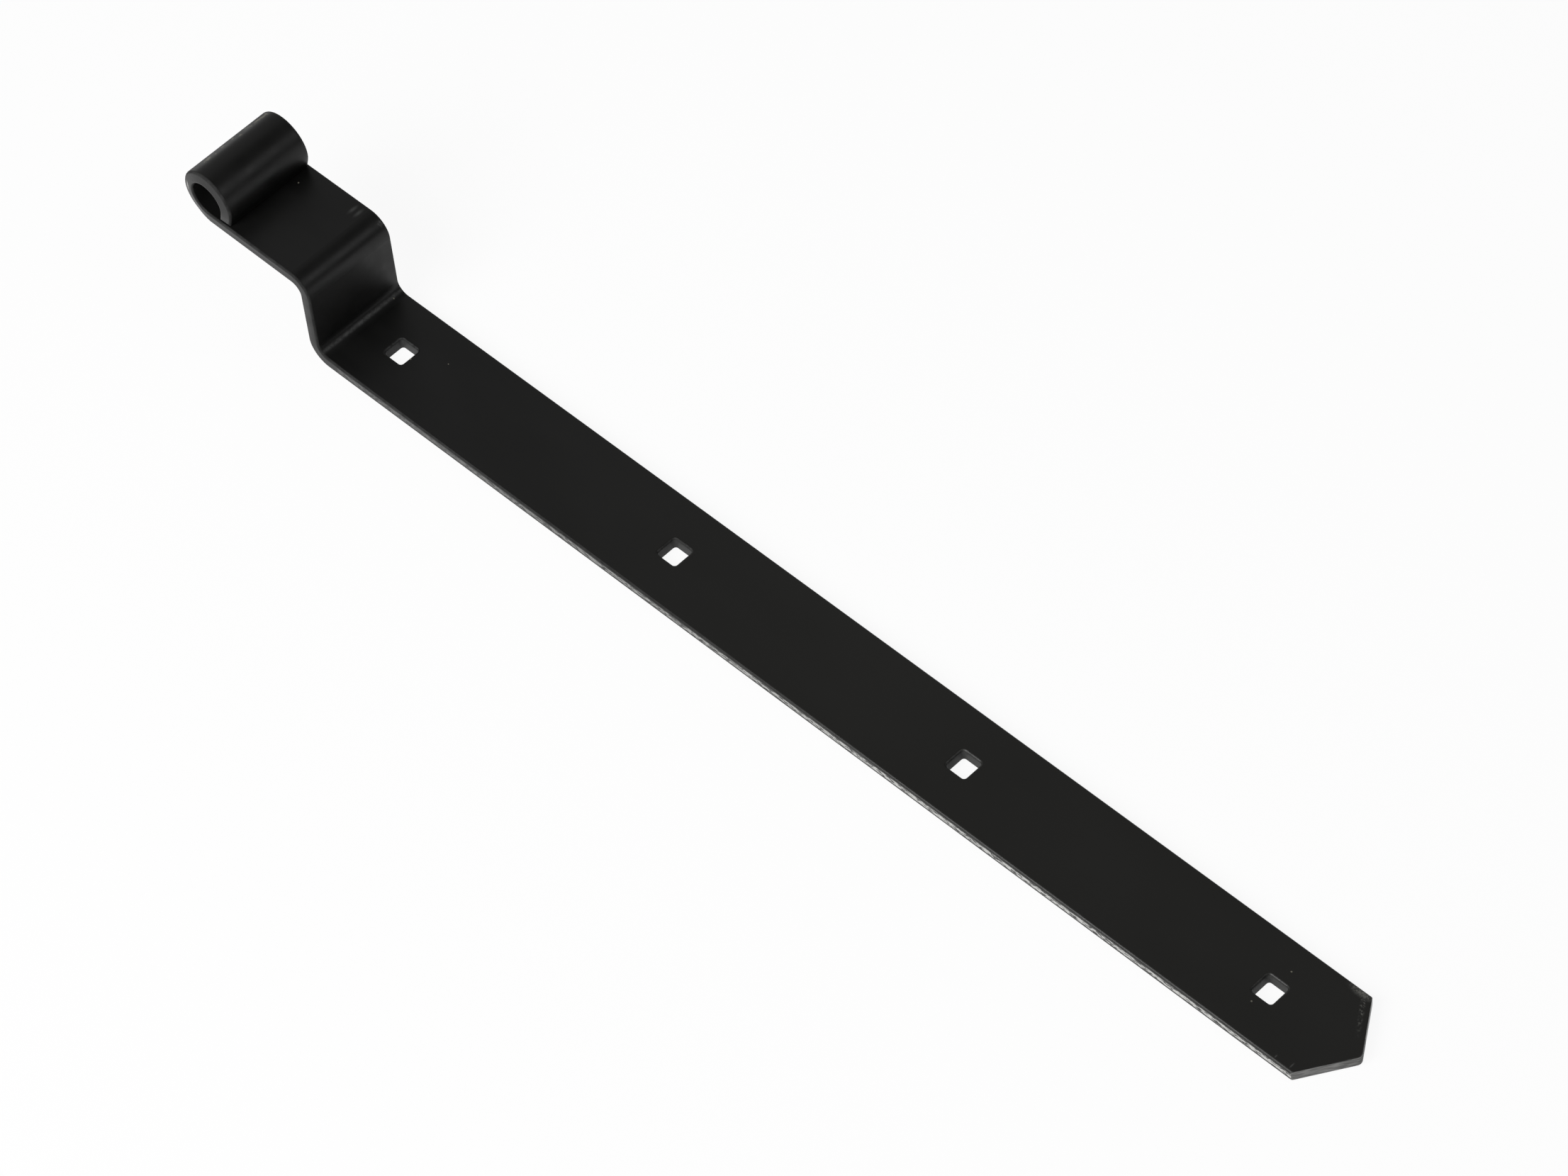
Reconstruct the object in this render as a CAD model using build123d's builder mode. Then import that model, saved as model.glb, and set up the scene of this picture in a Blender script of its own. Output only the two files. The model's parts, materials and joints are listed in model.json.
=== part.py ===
from build123d import *
import os
from math import cos, radians, sin

# Cranked hinge band: one length of flat steel bar. The long leg is bolted to a gate or door, the
# crank steps the bar forward, and its end is rolled back over itself into an eye for a hook's pin.
# Frame: origin on the pin axis at mid width, +X along the leg to its point, +Y along the pin axis,
# +Z out of the front face. Millimetres and degrees.

# Bar
strap_width = 50.0
strap_thickness = 6.0
edge_radius = 1.2  # rolled arrises, along the bar's two narrow sides

# Lengths along the band
head_length = 58.0  # pin axis to the back of the riser
leg_length = 600.0  # back of the riser to the sharp point

# Crank
crank_offset = 46.0  # step from the leg's back face to the head's back face
foot_bend_radius = 5.5  # inside radius, on the front face
head_bend_radius = 5.0  # inside radius, on the back face

# Rolled eye
bore_diameter = 18.0
roll_lean = 15.0  # how far the roll goes on past three quarters of a turn
seam_gap = 0.25  # clearance of the roll's square-cut end over the front face

# Square bolt holes, in one row
hole_side = 11.0
hole_corner_radius = 1.5
hole_rim_radius = 1.2  # front rim, drawn in by the punch
hole_count = 4
hole_to_riser = 33.1  # first hole to the back of the riser
hole_to_point = 50.0  # last hole to the sharp point

# Point
point_length = 16.4  # shoulders to the sharp point
point_radius = 3.0
cut_edge_radius = 0.5  # arrises of the sheared faces

# Places that follow from the sizes above. Mid stands for the centre line of the bar's thickness.
bore_radius = bore_diameter / 2
half_thickness = strap_thickness / 2
foot_mid_radius = foot_bend_radius + half_thickness
head_mid_radius = head_bend_radius + half_thickness
roll_mid_radius = bore_radius + half_thickness
head_mid = -roll_mid_radius
leg_mid = head_mid - crank_offset
leg_top = leg_mid + half_thickness
leg_bottom = leg_mid - half_thickness
riser_mid = head_length + half_thickness
riser_height = crank_offset - foot_mid_radius - head_mid_radius
point_x = head_length + leg_length
hole_row_length = leg_length - hole_to_riser - hole_to_point
hole_row_x = head_length + hole_to_riser + hole_row_length / 2
hole_pitch = hole_row_length / (hole_count - 1)
roll_outer_drop = (bore_radius + strap_thickness) * sin(radians(roll_lean))
lap_length = (bore_radius - seam_gap - roll_outer_drop) / cos(radians(roll_lean))

os.makedirs("parts", exist_ok=True)

with BuildPart() as cranked_band:
    # The bar's side view: its centre line from the point to the end of the roll, drawn bar-thick.
    with BuildSketch(Plane.XZ):
        with BuildLine():
            leg = Line((point_x, leg_mid), (riser_mid + foot_mid_radius, leg_mid))
            foot_bend = JernArc(leg @ 1, leg % 1, foot_mid_radius, -90)
            riser = PolarLine(foot_bend @ 1, riser_height, direction=foot_bend % 1)
            head_bend = JernArc(riser @ 1, riser % 1, head_mid_radius, 90)
            head = Line(head_bend @ 1, (0, head_mid))
            roll = JernArc(head @ 1, head % 1, roll_mid_radius, -(270 + roll_lean))
            PolarLine(roll @ 1, lap_length, direction=roll % 1)
        trace(line_width=strap_thickness)
    extrude(amount=strap_width / 2, both=True)
    narrow_sides = cranked_band.faces().filter_by(Axis.Y)
    fillet(narrow_sides.edges(), radius=edge_radius)

    # The leg's end is sheared to a blunt point, its tip slightly rounded.
    with BuildSketch(Plane.XY.offset(leg_bottom)):
        with Locations((point_x, 0)):
            Rectangle(2 * point_length, 2 * strap_width)
        with BuildLine():
            point = Polyline(
                (point_x - point_length, -strap_width / 2),
                (point_x, 0),
                (point_x - point_length, strap_width / 2),
                close=True,
            )
            fillet(point.vertices().sort_by(Axis.X)[-1], radius=point_radius)
        make_face(mode=Mode.SUBTRACT)
    extrude(amount=strap_thickness, mode=Mode.SUBTRACT)

    # The arrises of the sheared faces are eased as one loop, without the upright seams of the tip.
    sheared_faces = cranked_band.faces().filter_by_position(Axis.X, point_x - point_length, point_x)
    tip_seams = sheared_faces.sort_by(Axis.X)[-1].edges().filter_by(Axis.Z)
    cut_arrises = sheared_faces.edges().filter_by(lambda edge: edge not in tip_seams)
    fillet(cut_arrises, radius=cut_edge_radius)

    # Holes for the square necks of coach bolts, punched in one row.
    with BuildSketch(Plane.XY.offset(leg_top)):
        with Locations((hole_row_x, 0)):
            with GridLocations(hole_pitch, 0, hole_count, 1):
                RectangleRounded(hole_side, hole_side, hole_corner_radius)
    extrude(amount=-strap_thickness, mode=Mode.SUBTRACT)
    front_rims = cranked_band.edges(Select.LAST).filter_by_position(Axis.Z, leg_top, leg_top)
    fillet(front_rims, radius=hole_rim_radius)

cranked_band.part.label = "cranked_band"
export_step(cranked_band.part, "parts/cranked_band.step")
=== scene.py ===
import json
from collections import namedtuple
from math import copysign, cos, hypot, radians, sin
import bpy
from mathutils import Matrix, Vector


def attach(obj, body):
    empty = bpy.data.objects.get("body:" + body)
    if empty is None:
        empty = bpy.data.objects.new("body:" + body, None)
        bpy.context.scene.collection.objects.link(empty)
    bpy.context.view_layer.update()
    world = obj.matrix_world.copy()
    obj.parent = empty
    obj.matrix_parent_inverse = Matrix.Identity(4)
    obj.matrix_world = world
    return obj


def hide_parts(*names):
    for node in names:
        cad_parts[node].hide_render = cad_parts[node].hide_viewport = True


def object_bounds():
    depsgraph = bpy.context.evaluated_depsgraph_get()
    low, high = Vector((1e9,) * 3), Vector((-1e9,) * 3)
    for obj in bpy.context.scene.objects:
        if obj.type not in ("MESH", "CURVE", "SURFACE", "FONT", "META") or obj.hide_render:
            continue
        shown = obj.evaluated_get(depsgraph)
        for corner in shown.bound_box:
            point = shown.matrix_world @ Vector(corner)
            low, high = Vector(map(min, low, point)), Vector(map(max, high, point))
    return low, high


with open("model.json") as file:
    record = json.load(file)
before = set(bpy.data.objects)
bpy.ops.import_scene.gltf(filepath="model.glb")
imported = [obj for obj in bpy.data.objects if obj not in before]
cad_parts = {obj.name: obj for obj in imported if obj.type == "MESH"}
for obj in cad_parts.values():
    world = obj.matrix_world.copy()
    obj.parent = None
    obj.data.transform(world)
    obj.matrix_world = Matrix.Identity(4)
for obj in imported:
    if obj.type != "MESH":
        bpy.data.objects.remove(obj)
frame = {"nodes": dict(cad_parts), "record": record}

from types import SimpleNamespace

import bpy
from bpy.props import FloatProperty, FloatVectorProperty, PointerProperty
from mathutils import Quaternion, Vector

bl_info = {
    "name": "Cranked Hinge Band",
    "version": (1, 0, 0),
    "blender": (4, 5, 0),
    "location": "View3D > Sidebar > Hinge Band",
    "description": "Black painted steel hinge band with a rolled eye, and the studio it is shown in",
    "category": "Object",
}

# The band's own measures, in metres, read from the frame.
BAND_NODE = "cranked_band"
CAD_LOW, CAD_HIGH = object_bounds()
PIN_BORE = next(mount for mount in frame["record"]["mounts"] if mount["name"] == "pin_bore")
BORE_RADIUS = PIN_BORE["dims"]["r_mm"] / 1000
EYE_RADIUS = -CAD_LOW.x
STRAP_THICKNESS = EYE_RADIUS - BORE_RADIUS
HALF_WIDTH = CAD_HIGH.y
LEG_BACK = CAD_LOW.z
LEG_FRONT = LEG_BACK + STRAP_THICKNESS
HEAD_FRONT = -BORE_RADIUS
TIP_X = CAD_HIGH.x

# Where the leg runs flat, clear of the crank, and where it is sheared to its rounded point.
LEG_START_X = 0.076
POINT_LENGTH = 0.0164
TIP_ROUNDING = 0.0006
SHOULDER_X = TIP_X + TIP_ROUNDING - POINT_LENGTH
FAR_SHOULDER = Vector((SHOULDER_X, HALF_WIDTH, LEG_FRONT))
FAR_CUT_NORMAL = Vector((HALF_WIDTH, POINT_LENGTH, 0.0)).normalized()

# The eye's end faces lean from the arris inwards. Under the bore the lean dies out towards the head.
ARRIS_DEPTH = 0.0013
LEAN_FULL_X = -0.008
LEAN_END_X = 0.004

# How the kinds of face are told apart: by place in metres, or by slope, a normal's share along an axis.
LEG_BEGINS = (LEG_START_X - 0.001, LEG_START_X)
POINT_BEGINS = (SHOULDER_X - 0.0005, SHOULDER_X)
SIDE_BEGINS = (HALF_WIDTH - 0.0016, HALF_WIDTH - 0.0008)
HOLES_END = (0.0085, 0.0075)
ROLL_BACK_BEGINS = (-0.006, -0.012)
ROLL_BACK_SLOPE = (0.5, 0.2)
NARROW_SLOPE = (0.75, 0.97)
CUT_SLOPE = (0.5, 0.2)
CRANK_ARRIS_SLOPE = (0.1, 0.4, 0.8, 0.98)
LEG_ARRIS_SLOPE = (0.05, 0.3, 0.75, 0.97)
HOLE_WALL_SLOPE = (0.6, 0.2)
HOLE_RIM_SLOPE = (0.2, 0.5, 0.9, 0.99)

# Single marks on the paint, two of them painted highlights: centre and reach in metres, and the share of the
# reach where the fading starts.
Mark = namedtuple("Mark", "centre reach fade_from")
PRESS_STROKES = [
    Mark((x, y, HEAD_FRONT), (0.0015, 0.0044, 0.002), 0.0) for x, y in ((0.0470, 0.0194), (0.0505, 0.0196))
]
SCRATCHES = [
    Mark((0.6396, -0.0221, LEG_FRONT), (0.0005, 0.0022, 0.002), 0.2),
    Mark((0.6318, -0.0230, LEG_FRONT), (0.0005, 0.0012, 0.002), 0.2),
]
EDGE_SMEAR = Mark((0.6375, 0.0236, LEG_FRONT), (0.0095, 0.0032, 0.003), 0.0)
# Painted highlight: a bright steel streak on the eye's near rim, where a glint of light falls.
EYE_PAINTED_HIGHLIGHT = Mark((-0.0122, -HALF_WIDTH + 0.0006, 0.0010), (0.0007, 0.002, 0.0042), 0.0)
# Painted highlight: a lighter line along the foot of the crank.
FOOT_PAINTED_HIGHLIGHT = Mark((0.0665, 0.0, LEG_FRONT + 0.0020), (0.0017, 0.060, 0.0017), 0.3)
BEND_RUB = Mark((0.0604, 0.0231, HEAD_FRONT - 0.0029), (0.0026, 0.0020, 0.0026), 0.0)
SPECKS = [
    Mark(centre, (reach, reach, reach), 0.5)
    for centre, reach in (
        ((0.0170, 0.0142, HEAD_FRONT), 0.0005),
        ((0.1124, 0.0087, LEG_FRONT), 0.0004),
        ((0.0973, -0.0004, LEG_FRONT - 0.0002), 0.0008),
        ((0.0667, 0.0187, LEG_FRONT + 0.0008), 0.0005),
        ((0.6089, 0.0122, LEG_FRONT), 0.0005),
        ((0.6064, -0.0095, LEG_FRONT), 0.0005),
    )
]

# Stretches of the band that carry a mark or a change of finish, in metres.
CUT_SMEAR_DEPTH = (-0.0050, -0.0036, -0.0030, -0.0018)
CUT_SMEAR_Y = (0.003, 0.020)
CUT_SMEAR_Z = (LEG_FRONT - 0.001, LEG_FRONT - 0.0003)
# Painted reflection: the strip of the narrow sides where steel flecks stand in for a bright reflection, and
# the stretch where it grows towards the point.
GLINT_AND_REFLECTION_Z = (LEG_BACK + 0.0015, LEG_BACK + 0.0024, LEG_FRONT - 0.0020, LEG_FRONT - 0.0013)
PAINTED_REFLECTION_GROWTH_X = (0.1, 0.5)
FLECK_X = (-0.0105, -0.0085, -0.0075, -0.0055)
FLECK_Z = (0.0095, 0.011)
FLECK_END_Y = (HALF_WIDTH - 0.002, HALF_WIDTH - 0.003)
FILM_GROWTH_X = (0.08, 0.38)
DULL_RISER_X = (0.0600, 0.0625, 0.0665, 0.0700)
DULL_RISER_Z = (LEG_FRONT + 0.002, LEG_FRONT + 0.007, HEAD_FRONT - 0.011, HEAD_FRONT - 0.005)
DULL_ARRIS_END_X = (0.25, 0.45)

# Grains of the finish: spacing in metres, detail, stretch along the axes, and the noise levels of its mask.
Grain = namedtuple("Grain", "spacing detail stretch levels")
EVEN = (1.0, 1.0, 1.0)
DRAWN_OUT = (2.0, 1.0, 1.0)
STREAKED = (4.0, 1.0, 1.0)
LEVEL_LINES = (8.0, 8.0, 1.0)
STROKE_GRAIN = Grain(0.0015, 2.0, EVEN, (0.25, 0.55))
CUT_SMEAR_GRAIN = Grain(0.0010, 3.0, EVEN, (0.46, 0.66))
EDGE_SMEAR_GRAIN = Grain(0.0011, 3.0, EVEN, (0.35, 0.65))
WEAR_GRAIN = Grain(0.004, 3.0, EVEN, (0.35, 0.65))
SPECKLE_GRAIN = Grain(0.0016, 2.0, EVEN, (0.35, 0.65))
SHEAR_GRAIN = Grain(0.0009, 2.0, LEVEL_LINES, (0.35, 0.65))
# Grain of the steel flecks, which also breaks up the painted reflection along the narrow sides.
GLINT_GRAIN = Grain(0.0007, 2.0, STREAKED, (0.41, 0.55))
FLECK_GRAIN = Grain(0.003, 3.0, EVEN, (0.56, 0.66))
SATIN_GRAIN = Grain(0.012, 3.0, STREAKED, (0.3, 0.7))
CLOUD_GRAIN = Grain(0.06, 2.0, DRAWN_OUT, (0.3, 0.7))
NOISE_ROUGHNESS = 0.55

# Relief of the paint and of the bar under it. Heights are in metres, the rest are shares of the peel.
PEEL_DETAIL = 1.5
PITS_TO_A_PEEL = 3
PIT_SHARE = 0.25
NARROW_PEEL = 4.5
CUT_PEEL = 0.6
WAVE_SPACING = 0.035
WAVE_HEIGHT = 0.00005
STROKE_DEPTH = 0.00004

# How strongly the paint is rubbed, from 0 to 1. Two values are those of the weakest and the strongest grain.
STROKE_GRAIN_RANGE = (0.65, 1.0)
EDGE_SMEAR_RANGE = (0.3, 1.3)
# Painted highlight along the foot of the crank, weakest and strongest.
FOOT_HIGHLIGHT_STRENGTH = (0.2, 0.7)
CUT_WEAR = (0.6, 1.0)
ARRIS_WEAR = 0.2
RIM_WEAR = 0.35
HOLE_WALL_WEAR = 0.4
SCRATCH_WEAR = 0.6
STROKE_WEAR = 0.5
CLOUD_WEAR = 0.03

# How much bare steel, painted highlight and dust shows, from 0 to 1.
# Steel flecks and painted reflection on the narrow sides, from the head to the point.
GLINT_AND_REFLECTION_SHARE = (0.12, 1.0)
CUT_BARE = (0.09, 0.23)
EYE_HIGHLIGHT_STRENGTH = 0.7
SPECK_DUST = 0.5
FLECK_DUST = 0.45
SMEAR_DUST = 0.16
FILM_DUST = 0.016

# How dull the paint is: its spread about the mean roughness, and what full dulling adds to it.
SATIN_SPREAD = (-0.04, 0.06)
FULL_DULLING = 0.4
HOLE_WALL_DULL = 0.6
RISER_DULL = 0.25
ROLL_BACK_DULL = 0.6
PAINT_IOR = 1.38

# Plain white, of the floor's glow and of the room.
WHITE = (1.0, 1.0, 1.0, 1.0)

# The floor. It lies a hair's breadth under the leg, so that the two faces do not coincide.
FLOOR_GAP = 0.0002
FLOOR_COLOUR = (0.9, 0.9, 0.9, 1.0)
FLOOR_GLOW = 0.92

# The room, by the height of a direction: a white horizon that fades out, and a wall lighter overhead.
HORIZON_FADE = (0.09, 0.12)
WALL_HEIGHTS = (0.25, 0.75)
LOW_WALL_SHARE = 0.4

# The one pale window of the room, seen by its reflection in the wide faces.
WINDOW_DIRECTION = (-0.68, 0.42, 0.60)
WINDOW_FADE = (0.78, 0.96)

# The three soft boxes, as seen from the middle of the band: direction, distance and size in metres.
SoftBox = namedtuple("SoftBox", "direction distance size")
KEY_BOX = SoftBox((-0.05, -0.78, 0.62), 4.0, (3.0, 3.0))
SIDE_BOX = SoftBox((-0.25, -0.75, 0.6), 1.75, (0.6, 1.0))
FILL_BOX = SoftBox((0.563, 0.42, 0.71), 1.8, (0.8, 0.8))

# Width of the camera's sensor, in millimetres.
SENSOR_WIDTH = 36.0


class HingeBandForm(bpy.types.PropertyGroup):
    """What rolling has done to the band's form."""

    eye_lean: FloatProperty(
        name="Eye lean",
        description="How far the outer edge of the eye's end faces stands back from the inner one",
        unit="LENGTH",
        default=0.0010,
        min=0.0,
        max=0.003,
    )


class HingeBandPaint(bpy.types.PropertyGroup):
    """The band's paint and its wear."""

    black: FloatVectorProperty(
        name="Black",
        description="Colour of the paint",
        subtype="COLOR",
        size=4,
        default=(0.0030, 0.0030, 0.0028, 1.0),
        min=0.0,
        max=1.0,
    )
    # Also the colour of the painted highlight along the foot of the crank.
    rubbed: FloatVectorProperty(
        name="Rubbed paint",
        description="Colour of the paint where handling has polished it thin",
        subtype="COLOR",
        size=4,
        default=(0.062, 0.063, 0.062, 1.0),
        min=0.0,
        max=1.0,
    )
    dust: FloatVectorProperty(
        name="Dust",
        description="Colour of the flecks of dust and primer",
        subtype="COLOR",
        size=4,
        default=(0.26, 0.25, 0.20, 1.0),
        min=0.0,
        max=1.0,
    )
    # Also the colour of the painted reflection along the narrow sides and of the painted highlight on the
    # eye's rim.
    steel: FloatVectorProperty(
        name="Steel",
        description="Colour of the bare steel that shows through on the narrow sides",
        subtype="COLOR",
        size=4,
        default=(0.60, 0.60, 0.58, 1.0),
        min=0.0,
        max=1.0,
    )
    roughness: FloatProperty(
        name="Roughness",
        description="Mean roughness of the satin paint",
        subtype="FACTOR",
        default=0.37,
        min=0.05,
        max=1.0,
    )
    peel_size: FloatProperty(
        name="Orange peel",
        description="Spacing of the orange peel in the paint",
        unit="LENGTH",
        default=0.0012,
        min=0.0002,
        max=0.01,
    )
    peel_depth: FloatProperty(
        name="Peel depth",
        description="Depth of the orange peel on the wide faces",
        unit="LENGTH",
        default=0.000008,
        min=0.0,
        max=0.001,
        precision=6,
    )


class HingeBandStudio(bpy.types.PropertyGroup):
    """The camera, the lamps and the floor."""

    azimuth: FloatProperty(
        name="Azimuth",
        description="Turn of the camera about the vertical, from the band's near side",
        subtype="ANGLE",
        default=radians(49.394),
    )
    elevation: FloatProperty(
        name="Elevation",
        description="Height of the camera above the level",
        subtype="ANGLE",
        default=radians(51.844),
    )
    roll: FloatProperty(
        name="Roll",
        description="Turn of the camera about its line of sight",
        subtype="ANGLE",
        default=radians(-6.408),
    )
    distance: FloatProperty(
        name="Distance",
        description="From the camera to the point that it looks at",
        unit="LENGTH",
        default=2.85425,
    )
    aim: FloatVectorProperty(
        name="Aim",
        description="Point on the leg's front face that the camera looks at",
        subtype="TRANSLATION",
        size=3,
        default=(0.313, 0.01716, LEG_FRONT),
    )
    focal_length: FloatProperty(
        name="Focal length",
        description="Lens of the camera",
        unit="CAMERA",
        default=152.272,
    )
    floor_size: FloatProperty(
        name="Floor",
        description="Side of the square floor",
        unit="LENGTH",
        default=60.0,
    )
    key_power: FloatProperty(
        name="Key light",
        description="Power of the large soft box in front of the near side",
        unit="POWER",
        default=150.0,
    )
    fill_power: FloatProperty(
        name="Fill light",
        description="Power of the weak soft box beyond the far side",
        unit="POWER",
        default=2.8,
    )
    side_power: FloatProperty(
        name="Side light",
        description="Power of the small soft box that draws a line along the near arris",
        unit="POWER",
        default=9.5,
    )
    ceiling: FloatProperty(
        name="Ceiling",
        description="Brightness of the room overhead",
        subtype="FACTOR",
        default=0.10,
        min=0.0,
        max=4.0,
    )
    window_light: FloatProperty(
        name="Window",
        description="Brightness of the pale window above the far side",
        subtype="FACTOR",
        default=0.30,
        min=0.0,
        max=4.0,
    )


def add_node(tree, kind, inputs=None, **settings):
    """A new node, with its options set and its inputs filled from sockets or plain values."""
    made = tree.nodes.new(kind)
    for key, value in settings.items():
        setattr(made, key, value)
    for key, value in (inputs or {}).items():
        if isinstance(value, bpy.types.NodeSocket):
            tree.links.new(value, made.inputs[key])
        else:
            made.inputs[key].default_value = value
    return made


def calc(tree, operation, a, b=0.0):
    """One sum on numbers."""
    return add_node(tree, "ShaderNodeMath", {0: a, 1: b}, operation=operation).outputs[0]


def vector_calc(tree, operation, a, b=(0.0, 0.0, 0.0)):
    """One sum on vectors, whose result is a number for a length or a dot product."""
    made = add_node(tree, "ShaderNodeVectorMath", {0: a, 1: b}, operation=operation)
    return made.outputs["Value" if operation in ("LENGTH", "DOT_PRODUCT") else "Vector"]


def times(tree, *factors):
    """The product of several numbers."""
    product = factors[0]
    for factor in factors[1:]:
        product = calc(tree, "MULTIPLY", product, factor)
    return product


def largest(tree, *masks):
    """The strongest of several masks."""
    most = masks[0]
    for mask in masks[1:]:
        most = calc(tree, "MAXIMUM", most, mask)
    return most


def ramp(tree, value, start, end, low=0.0, high=1.0):
    """A smooth step from low, where value is at start, to high, where it is at end."""
    inputs = {"Value": value, "From Min": start, "From Max": end, "To Min": low, "To Max": high}
    return add_node(tree, "ShaderNodeMapRange", inputs, interpolation_type="SMOOTHSTEP").outputs[0]


def between(tree, value, rise, top, fall, end):
    """1 between top and fall, 0 outside rise to end, smooth between."""
    return times(tree, ramp(tree, value, rise, top), ramp(tree, value, fall, end, 1.0, 0.0))


def noise(tree, coords, spacing, detail=1.0, stretch=EVEN):
    """Noise with the given spacing in metres, drawn out along an axis by stretch."""
    scaled = vector_calc(tree, "MULTIPLY", coords, [1 / (spacing * share) for share in stretch])
    inputs = {"Vector": scaled, "Scale": 1.0, "Detail": detail, "Roughness": NOISE_ROUGHNESS}
    return add_node(tree, "ShaderNodeTexNoise", inputs).outputs["Fac"]


def grain_mask(tree, coords, grain, low=0.0, high=1.0):
    """A grain as a mask that runs from low to high."""
    rough = noise(tree, coords, grain.spacing, grain.detail, grain.stretch)
    return ramp(tree, rough, *grain.levels, low, high)


def patch(tree, coords, mark):
    """1 inside the ellipsoid of a mark, fading to 0 at its surface."""
    offset = vector_calc(tree, "SUBTRACT", coords, mark.centre)
    share = vector_calc(tree, "MULTIPLY", offset, [1 / size for size in mark.reach])
    return ramp(tree, vector_calc(tree, "LENGTH", share), 1.0, mark.fade_from)


def patches(tree, coords, marks):
    """Several marks of one kind."""
    return largest(tree, *[patch(tree, coords, mark) for mark in marks])


def blend_colour(tree, factor, a, b):
    """Colour a turning into colour b."""
    made = add_node(tree, "ShaderNodeMix", {"Factor": factor}, data_type="RGBA")
    for name, value in (("A", a), ("B", b)):
        socket = next(s for s in made.inputs if s.name == name and s.type == "RGBA")
        if isinstance(value, bpy.types.NodeSocket):
            tree.links.new(value, socket)
        else:
            socket.default_value = value
    return next(s for s in made.outputs if s.type == "RGBA")


def surface_masks(tree):
    """Where a point lies on the band, and the kind of face it is on, told by its place and its normal."""
    coords = add_node(tree, "ShaderNodeTexCoord").outputs["Object"]
    place = add_node(tree, "ShaderNodeSeparateXYZ", {0: coords}).outputs
    normal = add_node(tree, "ShaderNodeNewGeometry").outputs["Normal"]
    normal = add_node(tree, "ShaderNodeSeparateXYZ", {0: normal}).outputs
    across = calc(tree, "ABSOLUTE", normal["Y"])
    upward = calc(tree, "ABSOLUTE", normal["Z"])
    from_middle = calc(tree, "ABSOLUTE", place["Y"])
    on_leg = ramp(tree, place["X"], *LEG_BEGINS)
    on_point = ramp(tree, place["X"], *POINT_BEGINS)
    on_roll_back = ramp(tree, place["X"], *ROLL_BACK_BEGINS)
    at_side = ramp(tree, from_middle, *SIDE_BEGINS)
    at_holes = times(tree, on_leg, ramp(tree, from_middle, *HOLES_END))
    arrises = {
        "A": between(tree, across, *CRANK_ARRIS_SLOPE),
        "B": between(tree, upward, *LEG_ARRIS_SLOPE),
    }
    return SimpleNamespace(
        coords=coords,
        x=place["X"],
        y=place["Y"],
        z=place["Z"],
        from_middle=from_middle,
        on_leg=on_leg,
        narrow=times(tree, at_side, ramp(tree, across, *NARROW_SLOPE)),
        cut=times(tree, on_point, ramp(tree, upward, *CUT_SLOPE)),
        arris=add_node(tree, "ShaderNodeMix", {"Factor": on_leg, **arrises}).outputs[0],
        roll_back=times(tree, on_roll_back, ramp(tree, across, *ROLL_BACK_SLOPE)),
        hole_wall=times(tree, at_holes, ramp(tree, upward, *HOLE_WALL_SLOPE)),
        hole_rim=times(tree, at_holes, between(tree, upward, *HOLE_RIM_SLOPE)),
    )


def press_strokes(tree, at):
    """Two strokes of the bending press across the head, close to its bend."""
    rough = grain_mask(tree, at.coords, STROKE_GRAIN, *STROKE_GRAIN_RANGE)
    return times(tree, patches(tree, at.coords, PRESS_STROKES), rough)


def relief(tree, at, strokes, paint):
    """Height of the orange peel, coarser on the narrow faces, over the bar's slight waves and the strokes."""
    peel = noise(tree, at.coords, paint.peel_size, PEEL_DETAIL)
    pits = noise(tree, at.coords, paint.peel_size / PITS_TO_A_PEEL)
    waves = noise(tree, at.coords, WAVE_SPACING, stretch=DRAWN_OUT)
    coarse = largest(tree, at.narrow, times(tree, at.cut, CUT_PEEL))
    peel = calc(tree, "ADD", peel, times(tree, pits, PIT_SHARE))
    peel = times(tree, peel, ramp(tree, coarse, 0.0, 1.0, 1.0, NARROW_PEEL))
    height = calc(tree, "ADD", times(tree, peel, paint.peel_depth), times(tree, waves, WAVE_HEIGHT))
    return calc(tree, "SUBTRACT", height, times(tree, strokes, STROKE_DEPTH))


def shoulder_smear(tree, at):
    """Paint smeared at the far shoulder, along the bar's edge and along the sheared face."""
    along_normal = vector_calc(tree, "DOT_PRODUCT", at.coords, FAR_CUT_NORMAL)
    past_cut = calc(tree, "SUBTRACT", along_normal, FAR_CUT_NORMAL.dot(FAR_SHOULDER))
    by_cut = times(
        tree,
        between(tree, past_cut, *CUT_SMEAR_DEPTH),
        ramp(tree, at.y, *CUT_SMEAR_Y),
        ramp(tree, at.z, *CUT_SMEAR_Z),
        grain_mask(tree, at.coords, CUT_SMEAR_GRAIN),
    )
    by_edge = times(
        tree,
        patch(tree, at.coords, EDGE_SMEAR),
        grain_mask(tree, at.coords, EDGE_SMEAR_GRAIN, *EDGE_SMEAR_RANGE),
    )
    return largest(tree, by_edge, by_cut)


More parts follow.
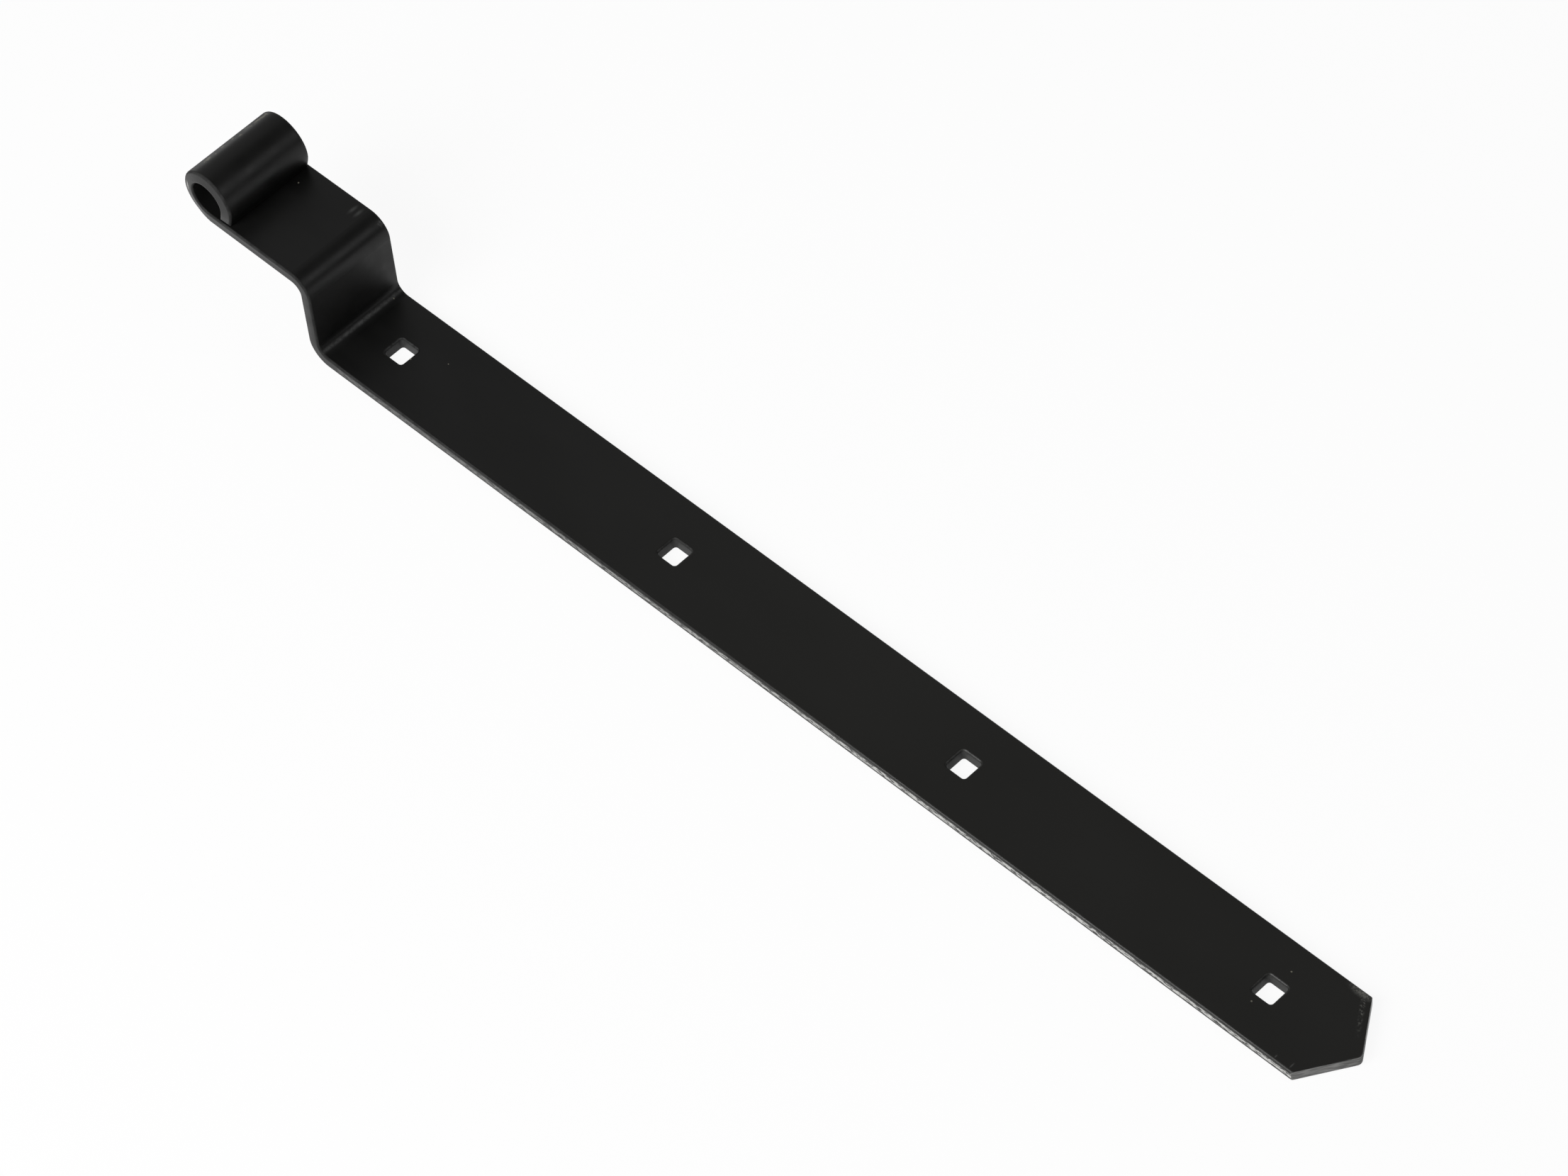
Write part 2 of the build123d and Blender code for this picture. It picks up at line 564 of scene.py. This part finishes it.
def worn_paint_and_foot_highlight(tree, at, strokes, smear, shear_lines):
    """Where the paint is rubbed thin: at arrises, hole rims and single marks, and on the sheared faces; and a
    painted highlight along the foot of the crank.
    """
    breakup = grain_mask(tree, at.coords, WEAR_GRAIN)
    speckle = grain_mask(tree, at.coords, SPECKLE_GRAIN)
    return largest(
        tree,
        # Painted highlight along the foot of the crank.
        times(tree, patch(tree, at.coords, FOOT_PAINTED_HIGHLIGHT), ramp(tree, speckle, 0.0, 1.0, *FOOT_HIGHLIGHT_STRENGTH)),
        times(tree, at.arris, breakup, ARRIS_WEAR),
        times(tree, at.hole_rim, speckle, RIM_WEAR),
        times(tree, at.hole_wall, HOLE_WALL_WEAR),
        times(tree, patches(tree, at.coords, SCRATCHES), SCRATCH_WEAR),
        times(tree, strokes, STROKE_WEAR),
        times(tree, patch(tree, at.coords, BEND_RUB), speckle),
        times(tree, at.cut, ramp(tree, shear_lines, 0.0, 1.0, *CUT_WEAR)),
        smear,
    )


def bare_steel_and_highlights(tree, at, shear_lines):
    """Steel flecks along the narrow sides, which also paint their reflection and brighten towards the point,
    bare steel on the sheared faces, and a painted highlight on the eye's rim.
    """
    glints = times(tree, between(tree, at.z, *GLINT_AND_REFLECTION_Z), grain_mask(tree, at.coords, GLINT_GRAIN))
    return largest(
        tree,
        # Steel flecks that also paint the reflection along the narrow sides, growing towards the point.
        times(tree, at.narrow, at.on_leg, glints, ramp(tree, at.x, *PAINTED_REFLECTION_GROWTH_X, *GLINT_AND_REFLECTION_SHARE)),
        times(tree, at.cut, ramp(tree, shear_lines, 0.0, 1.0, *CUT_BARE)),
        # Painted highlight on the eye's near rim.
        times(tree, patch(tree, at.coords, EYE_PAINTED_HIGHLIGHT), EYE_HIGHLIGHT_STRENGTH),
    )


def dust_and_primer(tree, at, smear):
    """Single specks, a broken line over the back of the eye, and a film of dust towards the point."""
    flecks = times(
        tree,
        between(tree, at.x, *FLECK_X),
        ramp(tree, at.z, *FLECK_Z),
        ramp(tree, at.from_middle, *FLECK_END_Y),
        grain_mask(tree, at.coords, FLECK_GRAIN),
    )
    return largest(
        tree,
        times(tree, patches(tree, at.coords, SPECKS), SPECK_DUST),
        times(tree, flecks, FLECK_DUST),
        times(tree, smear, SMEAR_DUST),
        ramp(tree, at.x, *FILM_GROWTH_X, 0.0, FILM_DUST),
    )


def paint_roughness(tree, at, dust, paint):
    """Satin paint with faint smears, duller in the holes, on the riser, behind the eye and under dust."""
    spread = [paint.roughness + change for change in SATIN_SPREAD]
    satin = grain_mask(tree, at.coords, SATIN_GRAIN, *spread)
    on_riser = times(tree, between(tree, at.x, *DULL_RISER_X), between(tree, at.z, *DULL_RISER_Z))
    dull = largest(
        tree,
        dust,
        times(tree, at.hole_wall, HOLE_WALL_DULL),
        times(tree, at.arris, ramp(tree, at.x, *DULL_ARRIS_END_X, 1.0, 0.0)),
        times(tree, on_riser, RISER_DULL),
        times(tree, at.roll_back, ROLL_BACK_DULL),
    )
    return calc(tree, "ADD", satin, times(tree, dull, FULL_DULLING))


def black_paint(paint):
    """Satin black paint on rolled bar: orange peel, thin arrises, press marks, dust, rubbed spots, and
    painted highlights and reflection.
    """
    material = bpy.data.materials.new("black_paint")
    material.use_nodes = True
    tree = material.node_tree
    tree.nodes.clear()
    at = surface_masks(tree)
    strokes = press_strokes(tree, at)
    smear = shoulder_smear(tree, at)
    shear_lines = grain_mask(tree, at.coords, SHEAR_GRAIN)
    # Rubbed paint, with the painted highlight along the foot of the crank.
    worn_and_highlight = worn_paint_and_foot_highlight(tree, at, strokes, smear, shear_lines)
    # Steel flecks with the painted reflection along the narrow sides, and the painted highlight on the eye's
    # rim.
    bare = bare_steel_and_highlights(tree, at, shear_lines)
    dust = dust_and_primer(tree, at, smear)

    clouds = grain_mask(tree, at.coords, CLOUD_GRAIN, 0.0, CLOUD_WEAR)
    tone = blend_colour(tree, clouds, paint.black, paint.rubbed)
    tone = blend_colour(tree, worn_and_highlight, tone, paint.rubbed)
    tone = blend_colour(tree, dust, tone, paint.dust)
    tone = blend_colour(tree, bare, tone, paint.steel)
    height = relief(tree, at, strokes, paint)
    bump = add_node(tree, "ShaderNodeBump", {"Height": height, "Distance": 1.0, "Strength": 1.0})
    shader = add_node(
        tree,
        "ShaderNodeBsdfPrincipled",
        {
            "Base Color": tone,
            "Metallic": bare,
            "Roughness": paint_roughness(tree, at, dust, paint),
            "Normal": bump.outputs["Normal"],
            "IOR": PAINT_IOR,
        },
    )
    add_node(tree, "ShaderNodeOutputMaterial", {"Surface": shader.outputs["BSDF"]})
    return material


def lean_eye_ends(mesh, lean):
    """Set back the outer edge of the eye's two end faces, where rolling has drawn the bar narrower."""
    for vertex in mesh.vertices:
        x, y, z = vertex.co
        from_axis = hypot(x, z)
        in_roll = from_axis < EYE_RADIUS + STRAP_THICKNESS / 2
        at_end = abs(y) > HALF_WIDTH - ARRIS_DEPTH
        if in_roll and at_end:
            outward = min((from_axis - BORE_RADIUS) / STRAP_THICKNESS, 1.0)
            towards_roll = (LEAN_END_X - x) / (LEAN_END_X - LEAN_FULL_X)
            fade = min(max(towards_roll, 0.0), 1.0) if z < HEAD_FRONT else 1.0
            vertex.co.y -= copysign(lean * outward * fade, y)


def white_floor():
    """White backdrop of the picture and of reflections, which keeps the shadow and is open from below."""
    material = bpy.data.materials.new("white_floor")
    material.use_nodes = True
    tree = material.node_tree
    tree.nodes.clear()
    path = add_node(tree, "ShaderNodeLightPath").outputs
    seen = largest(tree, path["Is Camera Ray"], path["Is Glossy Ray"], path["Is Transmission Ray"])
    glowing = times(tree, seen, FLOOR_GLOW)
    matt = add_node(tree, "ShaderNodeBsdfDiffuse", {"Color": FLOOR_COLOUR}).outputs[0]
    glow = add_node(tree, "ShaderNodeEmission", {"Color": WHITE, "Strength": 1.0}).outputs[0]
    white = add_node(tree, "ShaderNodeMixShader", {0: glowing, 1: matt, 2: glow}).outputs[0]
    from_below = add_node(tree, "ShaderNodeNewGeometry").outputs["Backfacing"]
    clear = add_node(tree, "ShaderNodeBsdfTransparent").outputs[0]
    one_sided = add_node(tree, "ShaderNodeMixShader", {0: from_below, 1: white, 2: clear}).outputs[0]
    add_node(tree, "ShaderNodeOutputMaterial", {"Surface": one_sided})
    return material


def soft_room(scene, ceiling, window_light):
    """A dim room with a white horizon, lighter overhead, and one pale window above the far side."""
    world = bpy.data.worlds.new("soft_room")
    world.use_nodes = True
    tree = world.node_tree
    tree.nodes.clear()
    direction = add_node(tree, "ShaderNodeTexCoord").outputs["Generated"]
    height = add_node(tree, "ShaderNodeSeparateXYZ", {0: direction}).outputs["Z"]
    wall = ramp(tree, height, *WALL_HEIGHTS, LOW_WALL_SHARE * ceiling, ceiling)
    towards_window = vector_calc(tree, "DOT_PRODUCT", direction, WINDOW_DIRECTION)
    pane = ramp(tree, towards_window, *WINDOW_FADE, 0.0, window_light)
    horizon = ramp(tree, height, *HORIZON_FADE, 1.0, 0.0)
    brightness = largest(tree, horizon, calc(tree, "ADD", wall, pane))
    sky = add_node(tree, "ShaderNodeBackground", {"Color": WHITE, "Strength": brightness})
    add_node(tree, "ShaderNodeOutputWorld", {"Surface": sky.outputs[0]})
    scene.world = world


def place_lamp(scene, name, box, power):
    """A rectangular soft box that faces the middle of the band."""
    lamp = bpy.data.lights.new(name, "AREA")
    lamp.shape = "RECTANGLE"
    lamp.size, lamp.size_y = box.size
    lamp.energy = power
    made = bpy.data.objects.new(name, lamp)
    scene.collection.objects.link(made)
    towards = Vector(box.direction).normalized()
    made.location = (CAD_LOW + CAD_HIGH) / 2 + towards * box.distance
    made.rotation_mode = "QUATERNION"
    made.rotation_quaternion = towards.to_track_quat("Z", "Y")


class HINGEBAND_OT_make_band(bpy.types.Operator):
    """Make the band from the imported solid, with the leaning ends of its eye and its black paint"""

    bl_idname = "hinge_band.make_band"
    bl_label = "Make Band"

    def execute(self, context):
        mesh = frame["nodes"][BAND_NODE].data.copy()
        lean_eye_ends(mesh, context.scene.hinge_band_form.eye_lean)
        mesh.materials.clear()
        mesh.materials.append(black_paint(context.scene.hinge_band_paint))
        band = bpy.data.objects.new("painted_band", mesh)
        context.scene.collection.objects.link(band)
        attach(band, "root")
        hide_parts(BAND_NODE)
        return {"FINISHED"}


class HINGEBAND_OT_set_stage(bpy.types.Operator):
    """Lay the floor, hang the lamps and set up the camera"""

    bl_idname = "hinge_band.set_stage"
    bl_label = "Set Stage"

    def execute(self, context):
        studio = context.scene.hinge_band_studio
        self.lay_floor(context, studio)
        soft_room(context.scene, studio.ceiling, studio.window_light)
        place_lamp(context.scene, "key_light", KEY_BOX, studio.key_power)
        place_lamp(context.scene, "side_light", SIDE_BOX, studio.side_power)
        place_lamp(context.scene, "fill_light", FILL_BOX, studio.fill_power)
        self.aim_camera(context, studio)
        context.scene.view_settings.view_transform = "Standard"
        return {"FINISHED"}

    def lay_floor(self, context, studio):
        half = studio.floor_size / 2
        corners = [(-half, -half, 0.0), (half, -half, 0.0), (half, half, 0.0), (-half, half, 0.0)]
        mesh = bpy.data.meshes.new("floor")
        mesh.from_pydata(corners, [], [(0, 1, 2, 3)])
        mesh.materials.append(white_floor())
        floor = bpy.data.objects.new("floor", mesh)
        floor.location = (0.0, 0.0, LEG_BACK - FLOOR_GAP)
        context.scene.collection.objects.link(floor)

    def aim_camera(self, context, studio):
        lens = bpy.data.cameras.new("photo_camera")
        lens.sensor_width = SENSOR_WIDTH
        lens.lens = studio.focal_length
        camera = bpy.data.objects.new("photo_camera", lens)
        level = cos(studio.elevation)
        back = Vector((sin(studio.azimuth) * level, -cos(studio.azimuth) * level, sin(studio.elevation)))
        camera.location = Vector(studio.aim) + back * studio.distance
        camera.rotation_mode = "QUATERNION"
        camera.rotation_quaternion = back.to_track_quat("Z", "Y") @ Quaternion((0.0, 0.0, 1.0), studio.roll)
        context.scene.collection.objects.link(camera)
        context.scene.camera = camera


class HINGEBAND_PT_sidebar(bpy.types.Panel):
    """Lists the band's form and finish, and its stage"""

    bl_idname = "HINGEBAND_PT_sidebar"
    bl_label = "Hinge Band"
    bl_space_type = "VIEW_3D"
    bl_region_type = "UI"
    bl_category = "Hinge Band"

    def draw(self, context):
        scene = context.scene
        self.list_values(scene.hinge_band_form)
        self.list_values(scene.hinge_band_paint)
        self.layout.operator(HINGEBAND_OT_make_band.bl_idname)
        self.list_values(scene.hinge_band_studio)
        self.layout.operator(HINGEBAND_OT_set_stage.bl_idname)

    def list_values(self, group):
        for name in group.__annotations__:
            self.layout.prop(group, name)


CLASSES = (
    HingeBandForm,
    HingeBandPaint,
    HingeBandStudio,
    HINGEBAND_OT_make_band,
    HINGEBAND_OT_set_stage,
    HINGEBAND_PT_sidebar,
)


def register():
    for cls in CLASSES:
        bpy.utils.register_class(cls)
    bpy.types.Scene.hinge_band_form = PointerProperty(type=HingeBandForm)
    bpy.types.Scene.hinge_band_paint = PointerProperty(type=HingeBandPaint)
    bpy.types.Scene.hinge_band_studio = PointerProperty(type=HingeBandStudio)


def unregister():
    del bpy.types.Scene.hinge_band_studio
    del bpy.types.Scene.hinge_band_paint
    del bpy.types.Scene.hinge_band_form
    for cls in reversed(CLASSES):
        bpy.utils.unregister_class(cls)


def main():
    register()
    bpy.ops.hinge_band.make_band()
    bpy.ops.hinge_band.set_stage()


if __name__ == "__main__":
    main()
